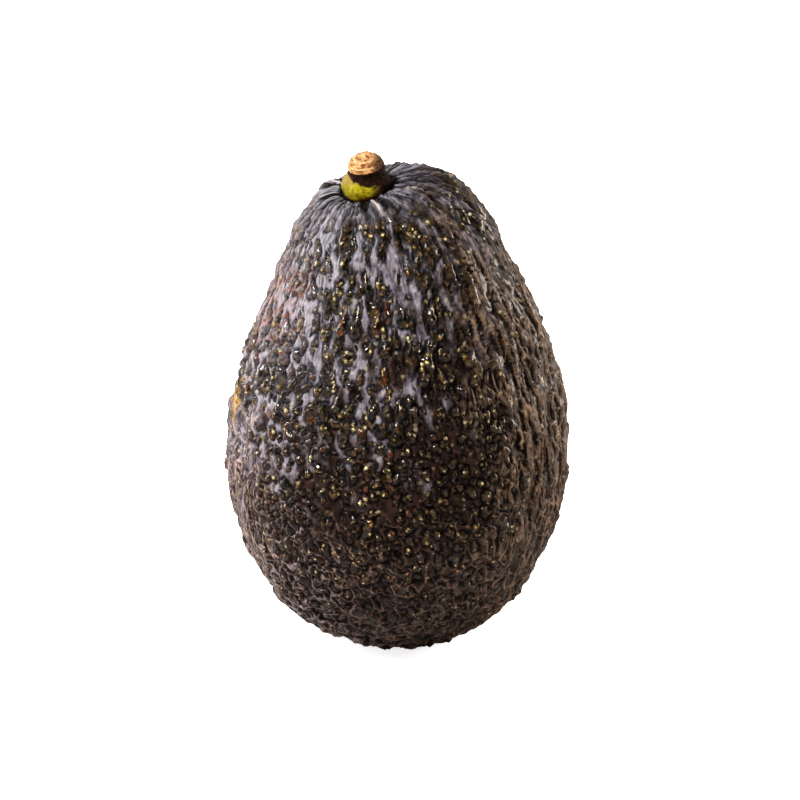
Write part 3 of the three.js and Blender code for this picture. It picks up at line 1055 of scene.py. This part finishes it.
def darken_valleys(n, s, colour):
    """Nearly black, a painted shade: the moats, the deep places and a line round the warts."""
    # painted shade: the hollows, the moats and a shadow line round each wart, darkened to near black
    deep = n.between(s.frayed_cavity, *HOLLOW)
    outline = n.between(n.unsigned(n.minus(s.frayed_edge, OUTLINE_PLACE)), *OUTLINE_WIDTH)
    outline = n.times(outline, n.blend(s.ridged, 0.85, 0.1), n.between(s.along, *FIRST_WARTS))
    deep_share = n.blend(s.grooved, n.blend(s.low, 0.6, 0.85), 0.6)
    s.black = n.most(n.times(s.moat, 0.95), n.times(deep, deep_share), outline)
    return n.mix(s.black, colour, VALLEY)


def add_net(n, s, colour):
    """Pale lines, partly dry skin and partly a painted highlight: the net between the low warts, strongest at
    the sides, with a painted sheen on its raised lines there, and threads in the long ridges.
    """
    # strongest at the sides, where the net carries a painted sheen
    netted = n.times(s.low, n.between(n.unsigned(s.round_x), 6.0, 26.0, 0.45, 1.0))
    border = n.times(n.between(s.rim, 0.7, 0.0, 0.0, 0.6), netted)
    raised = n.between(s.cavity, -0.03, 0.07)
    # painted sheen on the raised net lines at the sides
    colour = n.mix(n.times(border, raised), colour, n.mottled(s.round_x, *PAINTED_SIDE_SHEEN))
    wind = n.unsigned(n.minus(n.noise(n.scaled(s.flow, 1, 1, COMB), 1.9, 1.0), 0.5))
    thread = n.times(n.between(wind, 0.03, 0.005, 0.0, 0.7), s.grooved)
    net = n.between(n.plus(s.rim, n.times(s.fray, 0.3)), 0.2, 0.05)
    s.net = n.most(n.times(net, netted, n.between(s.middling, 0.42, 0.56)), thread)
    return n.mix(n.times(s.net, 0.7), colour, s.pale)


def add_knobs(n, s, colour):
    """Knobs: olive on the warts, and the chosen ones have a golden tip, partly a painted highlight, in a
    mustard ring.
    """
    push = n.add("ShaderNodeTexNoise", {"Vector": s.place, "Scale": 1.4}).outputs["Color"]
    shaken = n.vector_math("ADD", s.place, n.scaled(push, 0.6, 0.6, 0.6))
    cells = n.add("ShaderNodeTexVoronoi", {"Vector": shaken, "Scale": 0.8, "Randomness": 1.0}).outputs
    out = cells["Distance"]
    lot, other_lot, _ = n.add("ShaderNodeSeparateColor", {0: cells["Color"]}).outputs
    s.knob = n.between(out, 0.6, 0.0)
    olive = n.times(n.between(s.knob, 0.3, 0.9), s.on_wart, n.blend(s.low, 0.4, 0.12))
    colour = n.mix(olive, colour, OLIVE)

    size = n.blend(s.low, n.between(lot, 0.45, 1.0, 0.2, 0.48), 0.22)
    chosen = n.between(n.plus(lot, n.times(s.low, 0.14)), 0.48, 0.54)
    ring = n.between(out, n.times(size, 1.8), n.times(size, 0.8))
    colour = n.mix(n.times(ring, chosen, n.times(s.on_wart, 0.4)), colour, TIP_RING)
    on_crest = n.between(n.between(s.way, *BROAD_CREST), 0.1, 0.6, 0.2, 1.0)
    tip = n.times(
        n.between(out, size, n.times(size, 0.5)),
        chosen,
        n.most(s.on_wart, n.blend(s.low, 0.25, on_crest)),
        n.between(s.along, 124.0, 100.0, 0.3, 1.0),
        n.between(s.along, *FIRST_TIPS),
        n.blend(s.dusted, 1.0, 0.4),
    )
    # the tips' colour: lenticels, their cream cores partly a painted highlight
    gold = n.mix(s.low, n.mottled(other_lot, *GOLD), n.mottled(other_lot, *LOW_GOLD))
    return n.mix(n.times(tip, 0.8), colour, gold)


def add_marks(n, s, colour):
    """A rust blush and a tan scuff on the -X side, and a painted shadow in the socket round the stem."""
    blush = n.between(n.distance(s.place, BLUSH_PLACE), *BLUSH_REACH)
    colour = n.mix(n.times(blush, n.between(s.middling, 0.4, 0.65, 0.0, 0.4)), colour, BLUSH)
    ragged = n.times(n.minus(n.noise(s.place, 3.0, 2.0), 0.5), SCUFF_WAVER)
    scuff = n.between(n.plus(n.distance(s.place, SCUFF_PLACE), ragged), *SCUFF_REACH)
    colour = n.mix(n.times(scuff, n.between(s.fine, 0.35, 0.6)), colour, SCUFF)
    # painted shadow in the socket round the stem
    return n.mix(n.between(s.along, *SOCKET_RIM), colour, SOCKET)


def skin_roughness(n, s):
    zones = n.blend(s.grooved, n.blend(s.low, 0.36, 0.34), 0.46)
    roughness = n.plus(n.blend(s.bloom, zones, 0.44), n.times(n.minus(s.fine, 0.5), 0.16))
    return n.blend(s.black, roughness, 0.8)


def skin_gloss(n, s):
    """The coat: the warts shine, less so near the stem, under the bloom and lower down."""
    gloss = n.times(
        s.on_wart,
        n.blend(s.dusted, 1.0, 0.3),
        n.between(s.along, *FIRST_GLOSS, 0.3, 1.0),
        n.between(s.along, 50.0, 64.0, 0.45, 0.4),
    )
    return n.most(gloss, n.times(s.low, 0.06))


def skin_bumps(n, s):
    """The finest relief, in millimetres: streaks, knobs, grain, moats, crests and puckers."""
    return n.plus(
        n.times(s.streaks, n.blend(n.most(s.on_wart, s.low), 0.3, 0.05)),
        n.times(s.knob, n.blend(s.on_wart, 0.05, 0.7), n.blend(s.low, 1.0, 0.25)),
        n.times(s.middling, n.blend(s.ridged, 0.35, 0.06)),
        n.times(s.moat, -0.15),
        n.times(s.fine, n.blend(n.most(s.bloom, s.ridged), 0.25, 0.05)),
        n.times(n.most(n.times(s.high, s.ridged), s.net), 0.22),
        n.times(s.puckers, s.near_stem, 1.6),
    )


def skin_material():
    material, n = new_material("pebbled avocado skin")
    s = read_skin(n)
    add_masks(n, s)
    plain = plains_colour(n, s)
    wart_share = n.times(s.on_wart, n.between(s.low, 0.5, 1.0, 1.0, 0.8))
    colour = n.mix(wart_share, plain, wart_colour(n, s))
    for layer in (darken_valleys, add_net, add_knobs, add_marks):
        colour = layer(n, s, colour)
    finish_material(n, {
        "Base Color": colour,
        "Roughness": skin_roughness(n, s),
        "IOR": 1.5,
        "Specular IOR Level": 0.15,
        "Coat Weight": skin_gloss(n, s),
        "Coat Roughness": 0.12,
    }, skin_bumps(n, s))
    return material


def collar_colour(n, s):
    """Yellow-green and swollen; brown at its foot, dried out higher up, and with a painted shade on the +X
    side.
    """
    dried_top = n.between(n.minus(s.ragged, n.times(s.x, 0.5)), 3.0, 4.2, 0.0, 0.8)
    foot = n.between(n.plus(s.ragged, n.times(s.x, -0.3)), 0.7, -0.6)
    collar = n.mottled(s.broad, *COLLAR)
    collar = n.mix(n.between(s.fine, 0.5, 0.72, 0.0, 0.7), collar, DRIED_SPECKS)
    collar = n.mix(dried_top, collar, DRIED_TOP)
    # painted shade on the +X side
    collar = n.mix(n.between(n.plus(s.x, s.wander), 0.3, 2.8, 0.0, 0.85), collar, PAINTED_SIDE_SHADE)
    return n.mix(foot, collar, BROWN_FOOT)


def cork_colour(n, s):
    """Tan, with ledges paler on their tops, partly the cork's own lines and partly a painted highlight, and a
    painted shade on the +X side.
    """
    # paler on the ledges' tops: partly the cork's own lines, partly a painted highlight
    ledges = n.between(n.plus(n.stored("ledge"), n.times(s.fine, 1.2)), 1.1, 1.5, 0.0, 0.4)
    # painted shade on the +X side
    shade = n.between(n.plus(s.x, n.times(s.wander, 0.5)), 0.3, 2.6, 0.0, 0.85)
    return n.mix(shade, n.mix(ledges, n.mottled(s.rings, *CORK), CORK_LEDGE), PAINTED_CORK_SHADE)


def stem_material():
    material, n = new_material("avocado stem")
    s = SimpleNamespace()
    grown = n.stored("grown", "Vector")
    s.x, _, height = n.parts(grown)
    s.fine = n.noise(grown, 0.35, 4.0, 0.65)
    s.broad = n.noise(grown, 1.8, 3.0, 0.6)
    s.rings = n.noise(n.scaled(grown, 0.7, 0.7, 1.8), 0.7, 4.0, 0.7)
    s.wander = n.times(n.minus(s.broad, 0.5), 1.8)
    s.ragged = n.plus(height, s.wander)

    climb = n.times(n.most(n.minus(-0.5, s.x), 0.0), 0.3)
    dead_top = n.between(n.minus(s.ragged, climb), 2.2, 2.6)
    dead_side = n.between(n.plus(s.x, n.times(s.wander, 0.8)), 2.8, 3.4)
    dead = n.most(dead_top, dead_side)
    cap = n.between(n.plus(height, n.times(s.wander, 0.4), n.times(s.x, -0.2)), 4.7, 5.1)
    bark = n.mottled(s.fine, *BARK)
    finish_material(n, {
        "Base Color": n.mix(cap, n.mix(dead, collar_colour(n, s), bark), cork_colour(n, s)),
        "Roughness": n.blend(dead, 0.42, 0.62),
        "IOR": 1.45,
        "Specular IOR Level": 0.12,
    }, n.plus(n.times(s.fine, 0.25), n.times(s.rings, n.blend(cap, 0.15, 0.5))))
    return material


# ---------------------------------------------------------------- studio

def make_floor():
    """A pale floor that looks white, yet throws only a little light up at the fruit."""
    deselect_all()
    bpy.ops.mesh.primitive_plane_add(size=6, location=(0, 0, 0))
    floor = start_mesh("floor")
    material, n = new_material("pale floor")
    seen = n.add("ShaderNodeLightPath").outputs["Is Camera Ray"]
    _, back, _ = n.parts(n.add("ShaderNodeTexCoord").outputs["Object"])
    lit = n.mix(n.between(back, 0.0, 0.25), rgb(222, 212, 204), rgb(235, 235, 235))
    finish_material(n, {
        "Base Color": n.mix(seen, lit, rgb(250, 250, 250)),
        "Roughness": 0.9,
        "IOR": 1.3,
        "Emission Color": n.mix(seen, rgb(0, 0, 0), rgb(200, 200, 200)),
        "Emission Strength": 1.0,
    })
    floor.data.materials.append(material)


def soft_box(name, place, size, power, tint=(1, 1, 1), aim=(0, 0, 0.055)):
    light = bpy.data.lights.new(name, "AREA")
    light.shape = "RECTANGLE"
    light.size, light.size_y = size
    light.energy = power
    light.color = tint
    lamp = bpy.data.objects.new(name, light)
    lamp.location = place
    lamp.rotation_euler = (Vector(aim) - Vector(place)).to_track_quat("-Z", "Y").to_euler()
    bpy.context.scene.collection.objects.link(lamp)


def make_lights():
    soft_box("key", (-0.58, -0.45, 0.8), (0.14, 0.18), 13, (1, 0.97, 0.93))
    soft_box("rim left", (-0.8, 0.3, 0.05), (0.3, 0.5), 7, (1, 0.95, 0.96))
    soft_box("rim right", (0.85, 0.28, 0.1), (0.3, 0.6), 9, (1, 0.9, 0.82))
    soft_box("top", (-0.1, -0.3, 1.0), (0.4, 0.4), 4)
    soft_box("low front", (0.05, -0.7, 0.02), (0.5, 0.08), 1.0, (1, 0.94, 0.9), (0, 0, 0.01))
    soft_box("sparkle", (-0.3, -0.7, 0.8), (0.07, 0.07), 1.5, (1, 0.97, 0.9))


def make_surroundings():
    """White where it is looked at; as light, dark in front of the fruit and white behind it."""
    world = bpy.data.worlds.new("studio")
    world.use_nodes = True
    bpy.context.scene.world = world
    world.node_tree.nodes.clear()
    n = Nodes(world.node_tree)
    seen = n.add("ShaderNodeLightPath").outputs["Is Camera Ray"]
    _, back, _ = n.parts(n.add("ShaderNodeTexCoord").outputs["Generated"])
    strength = n.blend(seen, n.between(back, -0.5, 0.8, 0.03, 1.0), 1.1)
    background = n.add("ShaderNodeBackground", {"Color": (1, 1, 1, 1), "Strength": strength})
    n.add("ShaderNodeOutputWorld", {"Surface": background.outputs[0]})
    bpy.context.scene.view_settings.view_transform = "Standard"
    bpy.context.scene.view_settings.look = "High Contrast"


def make_camera():
    camera = bpy.data.objects.new("camera", bpy.data.cameras.new("camera"))
    bpy.context.scene.collection.objects.link(camera)
    back = Vector((0, -math.cos(CAMERA_ELEVATION), math.sin(CAMERA_ELEVATION)))
    camera.location = CAMERA_AIM + back * CAMERA_DISTANCE
    camera.rotation_euler = (math.pi / 2 - CAMERA_ELEVATION, 0, 0)
    camera.data.lens = CAMERA_LENS
    camera.data.shift_x, camera.data.shift_y = CAMERA_SHIFT
    bpy.context.scene.camera = camera


make_camera()
make_floor()
make_lights()
make_surroundings()

skin = make_skin()
skin.data.materials.append(skin_material())
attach(skin, "root")
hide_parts("fruit")

stem = make_stem()
stem.data.materials.append(stem_material())
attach(stem, "root")
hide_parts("stem")
